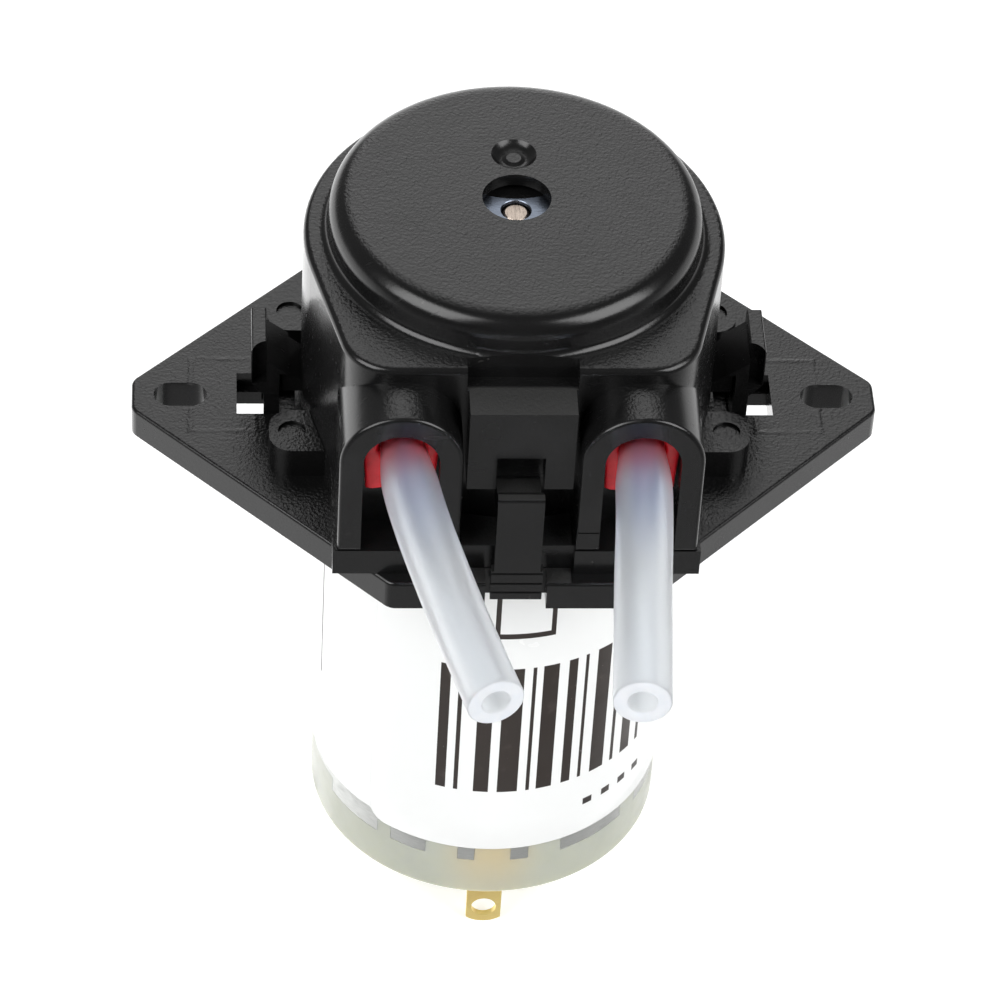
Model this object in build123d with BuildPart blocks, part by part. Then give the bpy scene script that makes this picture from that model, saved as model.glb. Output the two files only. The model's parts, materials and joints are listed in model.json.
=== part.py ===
"""Panel-mounted peristaltic pump: a three-roller pump head latched to a flanged plate over a DC motor.

The frame has its origin at the centre of the mounting plate's underside, on the motor axis. +Z points up
through the pump head, the motor hangs below, and both tube ports face -Y. All sizes are in millimetres.
"""

import math
import os

from build123d import *

os.makedirs("parts", exist_ok=True)

# ---------------------------------------------------------------- driving dimensions

# mounting plate
plate_t = 2.5
plate_half_x = 28.15
plate_half_y = 20.1
plate_front_corner_x = 9.2
plate_end_half_y = 1.6
plate_corner_r = 1.2
plate_edge_r = 0.25
slot_spacing = 49.0
slot_length = 4.0
slot_width = 2.55
window_inner_x = 17.0
window_outer_x = 20.25
window_front_y = -2.1
window_back_y = 2.35
ledge_x = (18.35, 20.25)
ledge_reach = 0.72
ledge_top = 1.2
sill_top = 0.45
sill_x = (17.4, 17.9)
pocket_x = 15.85
pocket_floor = 0.9
notch_half_x = 2.25
notch_back_y = 18.5

# pump head
base_top = 4.8
head_r = 15.5
shelf_top = 19.05
cap_r = 13.7
cap_top = 22.3
cap_edge_r = 1.65
cap_foot_r = 0.7
shelf_edge_r = 0.5
cap_ceiling = 20.4
cap_inner_r = 11.9
raceway_r = 13.25
raceway_top = 17.0
head_front_y = 15.1
head_corner_x = 12.2
head_corner_r = 4.0
cap_hole_r = 2.53

# tube ports
port_x = 8.65
port_z = 13.45
port_front_y = 19.0
arch_outer_r = 4.45
arch_inner_r = 2.75
recess_back_y = 15.8
collar_front_y = 17.6
collar_bottom = 9.9
collar_gap = 0.1

# tube
tube_r = 2.05
tube_bore_r = 1.0
squeezed_half_t = 1.0
squeezed_half_h = 2.85
tube_track_r = 12.2
lead_in_r = 6.0
tube_joint_y = 11.5
bore_stub = 1.5

# rotor
orbit_r = 6.2
roller_r = 4.8
roller_bottom = 7.5
roller_top = 16.9
pin_r = 1.0
cage_r = 10.6
cage_floor = (5.5, 7.2)
cage_roof = (17.2, 18.6)
hub_r = 3.4
hub_top = 20.75
hub_plate_top = 21.05
hub_recess_r = 4.2
hub_recess_top = 21.3
shaft_r = 1.0
shaft_top = 20.85
sleeve_r = 1.3
hub_edge = 0.05

# motor
motor_r = 13.85
motor_wall = 0.8
can_bottom = -33.5
endbell_bottom = -38.7
endbell_r = 13.85
boss_r = 5.0
boss_h = 1.9
screw_x = 8.0
terminal_y = 10.0
terminal_half_w = 1.4
terminal_t = 0.5
terminal_bottom = -46.3
terminal_hole_z = -44.6

running_gap = 0.05
hub_bore_gap = 0.1
pin_gap = 0.06
sleeve_end_gap = 0.1
bearing_gap = 0.03
can_hole_gap = 0.3
terminal_gap = 0.02
tab_pocket_extra_deg = 0.06
tab_gap = 0.02
sides = (-1, 1)

# The tube leaves each port straight and bends outwards by this angle to meet the raceway.
lead_in_turn = math.acos((port_x + lead_in_r) / (tube_track_r + lead_in_r))
lead_in_start_y = -math.sin(lead_in_turn) * (tube_track_r + lead_in_r)


def finish(name, part):
    """Labels a finished piece and writes it as its own STEP file."""
    part.label = name
    export_step(part, f"parts/{name}.step")


# ---------------------------------------------------------------- shared profiles


def head_outline(level, grow=0.0):
    """Plan of the pump head: a round body whose sides run on to a straight front with rounded corners."""
    tangent = math.radians(14)
    flank = ((head_r + grow) * math.cos(tangent), -(head_r + grow) * math.sin(tangent))
    corner = (head_corner_x + grow, -head_front_y - grow)
    with BuildSketch(Plane.XY.offset(level), mode=Mode.PRIVATE) as outline:
        with BuildLine():
            Polyline(flank, corner, (-corner[0], corner[1]), (-flank[0], flank[1]), close=True)
        make_face()
        front_corners = outline.vertices().group_by(Axis.Y)[0]
        fillet(front_corners, radius=head_corner_r)
        Circle(head_r + grow)
    return outline.sketch


def port_plane(side, distance):
    """Plane across a port's centre line, this far in front of the motor axis and facing forwards."""
    return Plane(origin=(side * port_x, -distance, port_z), x_dir=(1, 0, 0), z_dir=(0, -1, 0))


def arch_outline(side, radius, bottom, front_y):
    """A port's upside-down U: a half round of the given radius standing on straight legs."""
    with BuildSketch(port_plane(side, front_y), mode=Mode.PRIVATE) as outline:
        Circle(radius)
        drop = port_z - bottom
        with Locations((0, -drop / 2)):
            Rectangle(2 * radius, drop)
    return outline.sketch


def ring_sector(inner_r, outer_r, middle_deg, half_deg, level):
    """A flat ring sector, used for magnets, windings and the label's overlap."""
    start = middle_deg - half_deg
    points = []
    for radius in (inner_r, outer_r):
        for angle in (start, middle_deg, start + 2 * half_deg):
            turn = math.radians(angle)
            points.append((radius * math.cos(turn), radius * math.sin(turn)))
    with BuildSketch(Plane.XY.offset(level), mode=Mode.PRIVATE) as sector:
        with BuildLine():
            ThreePointArc(*points[:3])
            Line(points[2], points[5])
            ThreePointArc(*reversed(points[3:]))
            Line(points[3], points[0])
        make_face()
    return sector.sketch


# ---------------------------------------------------------------- mounting plate

lug_outer_x = 17.9
lug_inner_x = 12.5
lug_half_y = 2.2
lug_top = 5.05
lug_pin_x = 16.2
lug_pin_y = 6.6
lug_spots = [(x, y) for x in (lug_pin_x, -lug_pin_x) for y in (lug_pin_y, -lug_pin_y)]
lug_pin_r = 1.0
lug_pin_top = 4.8
screw_head_seat = 1.2
screw_head_r = 2.4
screw_r = 1.25
motor_relief_r = (motor_r + 0.2, motor_r + 0.7)
motor_relief_h = 0.3
boss_hole_gap = 0.1
screw_hole_gap = 0.1
screw_head_gap = 0.3
lug_end_r = 1.7
lug_hole_gap = 0.03
lug_head_gap = 0.05
hub_hole_gap = 0.4

with BuildPart() as mounting_plate:
    with BuildSketch():
        with BuildLine():
            Polyline(
                (plate_half_x, plate_end_half_y),
                (plate_front_corner_x, plate_half_y),
                (-plate_front_corner_x, plate_half_y),
                (-plate_half_x, plate_end_half_y),
                (-plate_half_x, -plate_end_half_y),
                (-plate_front_corner_x, -plate_half_y),
                (plate_front_corner_x, -plate_half_y),
                (plate_half_x, -plate_end_half_y),
                close=True,
            )
        corners = make_face().vertices()
        fillet(corners, radius=plate_corner_r)
    extrude(amount=plate_t)
    fillet(faces().sort_by(Axis.Z)[-1].edges(), radius=plate_edge_r)
    window_x = (window_inner_x + window_outer_x) / 2
    window_w = window_outer_x - window_inner_x
    with BuildSketch():
        for side in sides:
            with Locations((side * slot_spacing / 2, 0)):
                SlotOverall(slot_length, slot_width)
            with Locations((side * window_x, (window_front_y + window_back_y) / 2)):
                Rectangle(window_w, window_back_y - window_front_y)
        notch_depth = plate_half_y - notch_back_y
        with Locations((0, -notch_back_y - notch_depth / 2)):
            Rectangle(2 * notch_half_x, notch_depth)
        Circle(boss_r + boss_hole_gap)
    extrude(amount=plate_t, mode=Mode.SUBTRACT)
    # A ledge stands low on the back wall of each window.
    with BuildSketch():
        for side in sides:
            with Locations((side * (ledge_x[0] + ledge_x[1]) / 2, window_back_y - ledge_reach / 2)):
                Rectangle(ledge_x[1] - ledge_x[0], ledge_reach)
    extrude(amount=ledge_top)
    # Thin sills reach under the latch's root from the inner edge of the window and from the ledge.
    with BuildSketch():
        for side in sides:
            with Locations((side * (window_inner_x + sill_x[0]) / 2, (window_front_y + window_back_y) / 2)):
                Rectangle(sill_x[0] - window_inner_x, window_back_y - window_front_y)
            with Locations((side * (sill_x[1] + ledge_x[0]) / 2, window_back_y - ledge_reach / 2)):
                Rectangle(ledge_x[0] - sill_x[1], ledge_reach)
    extrude(amount=sill_top)
    # A blind pocket widens each window towards the head.
    with BuildSketch(Plane.XY.offset(pocket_floor)):
        for side in sides:
            with Locations((side * (pocket_x + window_inner_x) / 2, (window_front_y + window_back_y) / 2)):
                Rectangle(window_inner_x - pocket_x, window_back_y - window_front_y)
    extrude(amount=plate_t - pocket_floor, mode=Mode.SUBTRACT)
    with Locations((screw_x, 0, plate_t), (-screw_x, 0, plate_t)):
        CounterBoreHole(screw_r + screw_hole_gap, screw_head_r + screw_head_gap, plate_t - screw_head_seat)
    with BuildSketch(Plane.XY.offset(plate_t)):
        with Locations(*lug_spots):
            Circle(lug_pin_r)
    extrude(amount=lug_pin_top - plate_t)
    # A shallow groove underneath parts the motor's seat from the face that meets the panel.
    with BuildSketch():
        Circle(motor_relief_r[1])
        Circle(motor_relief_r[0], mode=Mode.SUBTRACT)
    extrude(amount=motor_relief_h, mode=Mode.SUBTRACT)
finish("mounting_plate", mounting_plate.part)

# ---------------------------------------------------------------- snap latches

latch_axis_z = 1.2
latch_root_r = 0.57
side_latch_axis_x = 17.67
arm_x = (17.1, 18.24)
arm_y = (-1.9, 2.1)
arm_top = 5.6
catch_z = 6.8
catch_reach_x = 16.4
finger_x = (18.05, 19.2)
finger_y = (-2.4, 2.25)
finger_bottom = 4.8
finger_knee_z = 5.9
finger_top = 9.3
ramp_top = 8.1
finger_top_r = 0.15
finger_hollow_x = 17.9
finger_hollow_y = -2.65
finger_hollow_r = 1.25
catch_gap = 0.1

for side, side_name in ((-1, "left"), (1, "right")):
    with BuildPart() as side_latch:
        with BuildSketch(Plane.XZ.offset(-arm_y[1])):
            with Locations((side * side_latch_axis_x, (latch_axis_z + arm_top) / 2)):
                Rectangle(arm_x[1] - arm_x[0], arm_top - latch_axis_z)
            with Locations((side * side_latch_axis_x, latch_axis_z)):
                Circle(latch_root_r)
        extrude(amount=arm_y[1] - arm_y[0])
        with BuildSketch(Plane.XZ.offset(-finger_y[1])):
            with BuildLine():
                Polyline(
                    (side * arm_x[0], finger_bottom),
                    (side * arm_x[0], catch_z),
                    (side * catch_reach_x, catch_z),
                    (side * finger_x[0], ramp_top),
                    (side * finger_x[0], finger_top),
                    (side * finger_x[1], finger_top),
                    (side * finger_x[1], finger_knee_z),
                    (side * arm_x[1], finger_bottom),
                    close=True,
                )
            make_face()
        extrude(amount=finger_y[1] - finger_y[0])
        finger_top_edges = edges().filter_by(Axis.Y).group_by(Axis.Z)[-1]
        fillet(finger_top_edges, radius=finger_top_r)
        # The finger's inner front corner is hollowed.
        with BuildSketch(Plane.XY.offset(finger_knee_z)):
            with Locations((side * finger_hollow_x, finger_hollow_y)):
                Circle(finger_hollow_r)
            with Locations((side * (finger_x[0] - finger_hollow_r), finger_hollow_y)):
                Rectangle(2 * finger_hollow_r, 2 * finger_hollow_r, mode=Mode.SUBTRACT)
        extrude(amount=finger_top - finger_knee_z, mode=Mode.SUBTRACT)
    finish(f"{side_name}_latch", side_latch.part)

front_latch_back_y = -19.3
front_latch_front_y = -20.05
front_hook_tip_y = -18.0
front_catch_z = 9.4
front_latch_top = 10.9
front_latch_bottom = 0.9
front_root_back_y = -19.0
front_root_top = 2.6
front_hook_nose_z = 9.8
front_hook_edge_r = 0.2
front_latch_half_x = 1.69
front_foot_half_x = 1.89
front_foot_top = 3.75
ridge_heights = (1.6, 2.5, 3.5)
ridge_depth = 0.15
ridge_half_h = 0.1

with BuildPart() as front_latch:
    with BuildSketch(Plane.YZ.offset(-front_latch_half_x)):
        with BuildLine():
            Polyline(
                (front_root_back_y, front_latch_bottom),
                (front_latch_back_y, front_root_top),
                (front_latch_back_y, front_catch_z),
                (front_hook_tip_y, front_catch_z),
                (front_hook_tip_y, front_hook_nose_z),
                (front_latch_back_y, front_latch_top),
                (front_latch_front_y, front_latch_top),
                (front_latch_front_y, front_latch_bottom),
                close=True,
            )
        make_face()
    extrude(amount=2 * front_latch_half_x)
    fillet(edges().filter_by(Axis.X).group_by(Axis.Z)[-1], radius=front_hook_edge_r)
    foot_middle = (front_latch_bottom + front_foot_top) / 2
    with BuildSketch(Plane.YZ.offset(-front_foot_half_x)):
        with Locations(((front_latch_back_y + front_latch_front_y) / 2, foot_middle)):
            Rectangle(front_latch_back_y - front_latch_front_y, front_foot_top - front_latch_bottom)
    extrude(amount=2 * front_foot_half_x)
    with BuildSketch(Plane.YZ.offset(-front_foot_half_x)):
        for height in ridge_heights:
            with BuildLine():
                Polyline(
                    (front_latch_front_y, height - ridge_half_h),
                    (front_latch_front_y + ridge_depth, height),
                    (front_latch_front_y, height + ridge_half_h),
                    close=True,
                )
            make_face()
    extrude(amount=2 * front_foot_half_x, mode=Mode.SUBTRACT)
finish("front_latch", front_latch.part)

# ---------------------------------------------------------------- head base

relief_r = 11.2
relief_top = 3.5
base_block_x = (4.2, 13.4)
base_block_back_y = 9.0
base_rim_y = 18.4
base_rim_half_x = 4.7
base_h = base_top - plate_t

with BuildPart() as head_base:
    extrude(head_outline(plate_t), amount=base_h)
    with BuildSketch(Plane.XY.offset(plate_t)):
        block_x = (base_block_x[0] + base_block_x[1]) / 2
        block_y = (port_front_y + base_block_back_y) / 2
        for side in sides:
            with Locations((side * block_x, -block_y)):
                Rectangle(base_block_x[1] - base_block_x[0], port_front_y - base_block_back_y)
        with Locations((0, -base_rim_y / 2)):
            Rectangle(2 * base_rim_half_x, base_rim_y)
    extrude(amount=base_h)
    with BuildSketch(Plane.XY.offset(plate_t)) as lugs:
        lug_middle = (lug_outer_x + lug_inner_x) / 2
        for x, y in lug_spots:
            with Locations((math.copysign(lug_middle, x), y)):
                Rectangle(lug_outer_x - lug_inner_x, 2 * lug_half_y)
        lug_ends = lugs.vertices().group_by(Axis.X)
        fillet(lug_ends[0] + lug_ends[-1], radius=lug_end_r)
    extrude(amount=lug_top - plate_t)
    extrude(head_outline(base_top, grow=lug_head_gap), amount=lug_top - base_top, mode=Mode.SUBTRACT)
    with Locations((0, 0, plate_t)):
        on_floor = (Align.CENTER, Align.CENTER, Align.MIN)
        Cylinder(relief_r, relief_top - plate_t, align=on_floor, mode=Mode.SUBTRACT)
    with Locations((0, 0, base_top)):
        Hole(hub_r + hub_hole_gap)
    with Locations(*[(x, y, lug_top) for x, y in lug_spots]):
        Hole(lug_pin_r + lug_hole_gap)
finish("head_base", head_base.part)

# ---------------------------------------------------------------- pump head housing

nose_half_x = 3.85
nose_front_y = 17.7
nose_back_y = 12.7
nose_bottom = 9.85
nose_top = 17.2
nose_slot_half_x = 1.75
nose_slot_depth = 1.3
nose_slot_top = 12.9
nose_recess_half_x = 4.0
nose_recess_y = 13.75
hood_depth = 8.0
hood_edge_r = 0.3
channel_half_h = 3.1
channel_w = 2 * tube_r + 0.6
dimple_y = 4.85
dimple_r = 1.68
dimple_floor_r = 0.85
dimple_depth = 0.5
bump_r = 0.55
bump_depth = 0.36
side_catch_x = (14.5, 16.9)
side_catch_half_y = 2.0
side_catch_top = catch_z - catch_gap
side_catch_flat_x = 16.45
side_catch_back_z = 5.0
front_catch_y = (15.0, 18.9)
front_catch_half_x = 1.6
front_catch_bottom = 7.0
leg_line_z = 6.6
leg_line_h = 0.12
leg_line_depth = 0.15
leg_line_half_x = 1.8


def tube_channel(level):
    """Plan of the two passages that the tube takes from the ports into the raceway."""
    end_x = tube_track_r * math.cos(lead_in_turn)
    end_y = -tube_track_r * math.sin(lead_in_turn)
    with BuildSketch(Plane.XY.offset(level), mode=Mode.PRIVATE) as channel:
        for side in sides:
            with BuildLine():
                straight = Line((side * port_x, -recess_back_y - 0.5), (side * port_x, lead_in_start_y))
                end = (side * end_x, end_y)
                TangentArc(straight @ 1, end, tangent=(0, 1))
            trace(line_width=channel_w)
    return channel.sketch


with BuildPart() as pump_head_housing:
    extrude(head_outline(base_top), amount=shelf_top - base_top)
    fillet(faces().sort_by(Axis.Z)[-1].edges(), radius=shelf_edge_r)
    for side in sides:
        extrude(arch_outline(side, arch_outer_r, base_top, port_front_y), amount=-hood_depth)
    hood_rims = faces().filter_by(Axis.Y).group_by(Axis.Y)[0].edges().filter_by(Axis.Z, reverse=True)
    fillet(hood_rims, radius=hood_edge_r)
    with BuildSketch(Plane.XY.offset(nose_bottom)):
        with Locations((0, -(nose_front_y + nose_back_y) / 2)):
            Rectangle(2 * nose_half_x, nose_front_y - nose_back_y)
    extrude(amount=nose_top - nose_bottom)
    with BuildSketch(Plane.XY.offset(nose_bottom)):
        with Locations((0, -nose_front_y)):
            Rectangle(2 * nose_slot_half_x, 2 * nose_slot_depth)
    extrude(amount=nose_slot_top - nose_bottom, mode=Mode.SUBTRACT)
    with BuildSketch(Plane.XY.offset(shelf_top)):
        Circle(cap_r)
    extrude(amount=cap_top - shelf_top)
    fillet(faces().sort_by(Axis.Z)[-1].edges(), radius=cap_edge_r)
    shelf_circles = edges().filter_by(GeomType.CIRCLE).filter_by_position(Axis.Z, shelf_top, shelf_top)
    fillet(shelf_circles.sort_by(SortBy.LENGTH)[-1], radius=cap_foot_r)
    with BuildSketch(Plane.XY.offset(nose_top)):
        with Locations((0, -(nose_recess_y + port_front_y) / 2)):
            Rectangle(2 * nose_recess_half_x, port_front_y - nose_recess_y)
    extrude(amount=cap_top - nose_top, mode=Mode.SUBTRACT)
    with BuildSketch(Plane.XY.offset(base_top)):
        Circle(raceway_r)
    extrude(amount=raceway_top - base_top, mode=Mode.SUBTRACT)
    with BuildSketch(Plane.XY.offset(raceway_top)):
        Circle(cap_inner_r)
    extrude(amount=cap_ceiling - raceway_top, mode=Mode.SUBTRACT)
    with BuildSketch(Plane.XY.offset(cap_ceiling)):
        Circle(hub_recess_r)
    extrude(amount=hub_recess_top - cap_ceiling, mode=Mode.SUBTRACT)
    with Locations((0, 0, cap_top)):
        Hole(cap_hole_r, depth=cap_top - hub_recess_top)
    extrude(tube_channel(port_z - channel_half_h), amount=2 * channel_half_h, mode=Mode.SUBTRACT)
    for side in sides:
        recess = port_front_y - recess_back_y
        extrude(arch_outline(side, arch_inner_r, base_top, port_front_y), amount=-recess, mode=Mode.SUBTRACT)
    # The dish on the cap is a shallow bowl with a low bump in its middle.
    with BuildSketch(Plane.YZ):
        with BuildLine():
            rim = (dimple_y + dimple_r, cap_top)
            floor = (dimple_y + dimple_floor_r, cap_top - dimple_depth)
            middle = (dimple_y + 0.75 * dimple_r, cap_top - 0.7 * dimple_depth)
            bump = (dimple_y + bump_r, cap_top - bump_depth)
            Polyline((dimple_y, bump[1]), (dimple_y, cap_top + 0.1), (rim[0], cap_top + 0.1), rim)
            ThreePointArc(rim, middle, floor)
            Polyline(floor, bump, (dimple_y, bump[1]))
        make_face()
    revolve(axis=Axis((0, dimple_y, 0), (0, 0, 1)), mode=Mode.SUBTRACT)
    # Each side catch slopes down from its edge towards the head.
    for side in sides:
        with BuildSketch(Plane.XZ.offset(-side_catch_half_y)):
            with BuildLine():
                Polyline(
                    (side * side_catch_x[0], base_top),
                    (side * side_catch_x[1], base_top),
                    (side * side_catch_x[1], side_catch_top),
                    (side * side_catch_flat_x, side_catch_top),
                    (side * side_catch_x[0], side_catch_back_z),
                    close=True,
                )
            make_face()
        extrude(amount=2 * side_catch_half_y)
    with BuildSketch(Plane.XY.offset(front_catch_bottom)):
        with Locations((0, -(front_catch_y[0] + front_catch_y[1]) / 2)):
            Rectangle(2 * front_catch_half_x, front_catch_y[1] - front_catch_y[0])
    extrude(amount=front_catch_z - catch_gap - front_catch_bottom)
    with BuildSketch(Plane.XY.offset(leg_line_z)):
        for side in sides:
            with Locations((side * (port_x - arch_outer_r), -port_front_y)):
                Rectangle(2 * leg_line_half_x, 2 * leg_line_depth)
    extrude(amount=leg_line_h, mode=Mode.SUBTRACT)
finish("pump_head_housing", pump_head_housing.part)

# ---------------------------------------------------------------- tube collars

for side, side_name in ((-1, "left"), (1, "right")):
    with BuildPart() as collar:
        extrude(
            arch_outline(side, arch_inner_r - running_gap, collar_bottom, collar_front_y),
            amount=-(collar_front_y - recess_back_y),
        )
        with BuildSketch(port_plane(side, collar_front_y)):
            Circle(tube_r + collar_gap)
        extrude(amount=recess_back_y - collar_front_y, mode=Mode.SUBTRACT)
    finish(f"{side_name}_tube_collar", collar.part)

# ---------------------------------------------------------------- tube

# Along each lead-in: share of the bend, half thickness and half height of the tube.
squeeze_steps = (
    (0.0, tube_r, tube_r),
    (0.33, 1.65, 2.35),
    (0.67, 1.2, 2.7),
    (1.0, squeezed_half_t, squeezed_half_h),
)

with BuildPart() as pump_tube:
    start_plane = Plane(
        origin=(0, 0, port_z),
        x_dir=(math.cos(lead_in_turn), -math.sin(lead_in_turn), 0),
        z_dir=(math.sin(lead_in_turn), math.cos(lead_in_turn), 0),
    )
    with BuildSketch(start_plane):
        with Locations((tube_track_r, 0)):
            Ellipse(squeezed_half_t, squeezed_half_h)
    revolve(axis=Axis.Z, revolution_arc=180 + 2 * math.degrees(lead_in_turn))
    for side in sides:
        for step, half_t, half_h in squeeze_steps:
            turn = step * lead_in_turn
            centre_x = side * (port_x + lead_in_r * (1 - math.cos(turn)))
            centre_y = lead_in_start_y + lead_in_r * math.sin(turn)
            along = (side * math.sin(turn), math.cos(turn), 0)
            across = (math.cos(turn), -side * math.sin(turn), 0)
            with BuildSketch(Plane(origin=(centre_x, centre_y, port_z), x_dir=across, z_dir=along)):
                Ellipse(half_t, half_h)
        loft()
        with BuildSketch(port_plane(side, -lead_in_start_y)):
            Circle(tube_r)
        extrude(amount=tube_joint_y + lead_in_start_y)
        with BuildSketch(port_plane(side, tube_joint_y)):
            Circle(tube_bore_r)
        extrude(amount=-bore_stub, mode=Mode.SUBTRACT)
finish("pump_tube", pump_tube.part)

# Free ends of the tube: each route starts behind its collar and runs straight out of the port.
tube_routes = {
    "left": [(-8.65, -11.5), (-8.65, -17.4), (-7.75, -23.6), (-6.05, -30.75), (-4.4, -37.05), (-2.9, -42.2)],
    "right": [(8.65, -11.5), (8.65, -17.4), (8.45, -23.7), (7.85, -30.8), (7.45, -37.1), (7.1, -42.2)],
}

for side_name, route in tube_routes.items():
    points = [Vector(x, y, port_z) for x, y in route]
    runs = [later - earlier for earlier, later in zip(points, points[1:])]
    radii = []
    for before, after in zip(runs, runs[1:]):
        half_turn = math.radians(before.get_angle(after)) / 2
        radii.append(0.45 * min(before.length, after.length) / math.tan(half_turn))
    with BuildPart() as tube_end:
        with BuildLine() as tube_line:
            FilletPolyline(*points, radius=radii)
        with BuildSketch(Plane(origin=points[0], z_dir=runs[0])):
            Circle(tube_r)
            Circle(tube_bore_r, mode=Mode.SUBTRACT)
        sweep()
    length = tube_line.wires()[0].length
    section = math.pi * (tube_r**2 - tube_bore_r**2)
    print(f"tube_end_{side_name}: length {length:.2f}, radii", [round(radius, 1) for radius in radii])
    print(f"  volume {tube_end.part.volume:.2f}, section times length {section * length:.2f}")
    finish(f"tube_end_{side_name}", tube_end.part)

# ---------------------------------------------------------------- rotor

roller_angles = (90, 210, 330)
post_r = 1.4
post_orbit_r = 8.8
pin_end_gap = 0.1
sleeve_bore_gap = 0.3
roller_chamfer = 0.4

with BuildPart() as cage_lower:
    with BuildSketch(Plane.XY.offset(cage_floor[0])):
        Circle(cage_r)
        Circle(sleeve_r + sleeve_bore_gap, mode=Mode.SUBTRACT)
        with PolarLocations(orbit_r, 3, start_angle=90):
            Circle(pin_r, mode=Mode.SUBTRACT)
    extrude(amount=cage_floor[1] - cage_floor[0])
    with BuildSketch(Plane.XY.offset(cage_floor[1])):
        with PolarLocations(post_orbit_r, 3, start_angle=30):
            Circle(post_r)
    extrude(amount=cage_roof[0] - cage_floor[1])
finish("cage_lower", cage_lower.part)

with BuildPart() as cage_upper:
    with BuildSketch(Plane.XY.offset(cage_roof[0])):
        Circle(cage_r)
        with PolarLocations(orbit_r, 3, start_angle=90):
            Circle(pin_r, mode=Mode.SUBTRACT)
    extrude(amount=cage_roof[1] - cage_roof[0])
    with BuildSketch(Plane.XY.offset(cage_roof[1])):
        Circle(hub_r)
    extrude(amount=hub_top - cage_roof[1])
    with Locations((0, 0, hub_top)):
        Hole(shaft_r + hub_bore_gap)
finish("cage_upper", cage_upper.part)

# A bright plate on the hub; one side of it is cut away in a wide arc.
plate_cut_y = 7.1
plate_cut_r = 5.78

with BuildPart() as hub_plate:
    with BuildSketch(Plane.XY.offset(hub_top)):
        Circle(hub_r)
        with Locations((0, plate_cut_y)):
            Circle(plate_cut_r, mode=Mode.SUBTRACT)
        Circle(shaft_r + hub_bore_gap, mode=Mode.SUBTRACT)
    extrude(amount=hub_plate_top - hub_top)
    chamfer(faces().sort_by(Axis.Z)[-1].edges(), length=hub_edge)
finish("hub_plate", hub_plate.part)

with BuildPart() as roller_pins:
    with BuildSketch(Plane.XY.offset(cage_floor[0] + pin_end_gap)):
        with PolarLocations(orbit_r, 3, start_angle=90):
            Circle(pin_r)
    extrude(amount=cage_roof[1] - cage_floor[0] - 2 * pin_end_gap)
finish("roller_pins", roller_pins.part)

for number, angle in enumerate(roller_angles, start=1):
    centre = (orbit_r * math.cos(math.radians(angle)), orbit_r * math.sin(math.radians(angle)))
    with BuildPart() as roller:
        with BuildSketch(Plane.XY.offset(roller_bottom)):
            with Locations(centre):
                Circle(roller_r)
                Circle(pin_r + pin_gap, mode=Mode.SUBTRACT)
        extrude(amount=roller_top - roller_bottom)
        rims = edges().filter_by(GeomType.CIRCLE).group_by(SortBy.RADIUS)[-1]
        chamfer(rims, length=roller_chamfer)
    finish(f"roller_{number}", roller.part)

with BuildPart() as drive_sleeve:
    with BuildSketch(Plane.XY.offset(roller_bottom + sleeve_end_gap)):
        Circle(sleeve_r)
        Circle(shaft_r, mode=Mode.SUBTRACT)
    extrude(amount=roller_top - roller_bottom - 2 * sleeve_end_gap)
finish("drive_sleeve", drive_sleeve.part)

# ---------------------------------------------------------------- motor casing

can_inner_r = motor_r - motor_wall
can_top_t = 1.0
can_shoulder_r = 0.6
bearing_r = 3.0
front_bearing_z = (-0.6, 1.5)
rear_bearing_z = (-39.4, -37.0)
# Crimp tabs, each as the middle and half width of its arc, in degrees from the front of the motor.
crimp_tabs = [(-51.5, 11.5), (-28.2, 6.3), (-8.2, 2.7), (9.4, 2.9), (36.5, 12.7), (66.0, 8.0)]
tab_bottom = -34.9
tab_r = (can_inner_r, motor_r - 0.01)
spigot_r = can_inner_r - 0.1
spigot_h = 2.0
endbell_inner_r = 11.5
endbell_edge_r = 0.2
endbell_floor_t = 1.6
endbell_hollow_z = -36.4
rear_boss_r = 4.2
rear_boss_h = 1.0


def crimp_tab_sectors(radii, extra_deg, level):
    """Ring sectors under all crimp tabs, on the front half and turned half a turn for the rear."""
    for half_turn in (0, 180):
        for middle, half in crimp_tabs:
            yield ring_sector(*radii, middle - 90 + half_turn, half + extra_deg, level)


with BuildPart() as motor_can:
    with BuildSketch():
        Circle(motor_r)
    extrude(amount=can_bottom)
    fillet(faces().sort_by(Axis.Z)[-1].edges(), radius=can_shoulder_r)
    with BuildSketch():
        Circle(boss_r)
    extrude(amount=boss_h)
    with BuildSketch(Plane.XY.offset(-can_top_t)):
        Circle(can_inner_r)
    extrude(amount=can_bottom + can_top_t, mode=Mode.SUBTRACT)
    with BuildSketch(Plane.XY.offset(front_bearing_z[0])):
        Circle(bearing_r)
    extrude(amount=front_bearing_z[1] - front_bearing_z[0], mode=Mode.SUBTRACT)
    with Locations((0, 0, boss_h)):
        Hole(shaft_r + can_hole_gap)
    with Locations((screw_x, 0, 0), (-screw_x, 0, 0)):
        Hole(screw_r)
    with BuildSketch(Plane.XY.offset(-can_top_t)):
        Circle(bearing_r)
    extrude(amount=can_top_t + front_bearing_z[0], mode=Mode.SUBTRACT)
    for tab in crimp_tab_sectors(tab_r, 0, can_bottom):
        extrude(tab, amount=tab_bottom - can_bottom)
finish("motor_can", motor_can.part)

label_t = 0.1
label_gap = 0.01
label_top = -0.9
label_bottom = -33.4
overlap_deg = -126
overlap_half_deg = 7
label_r = motor_r + label_gap

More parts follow.
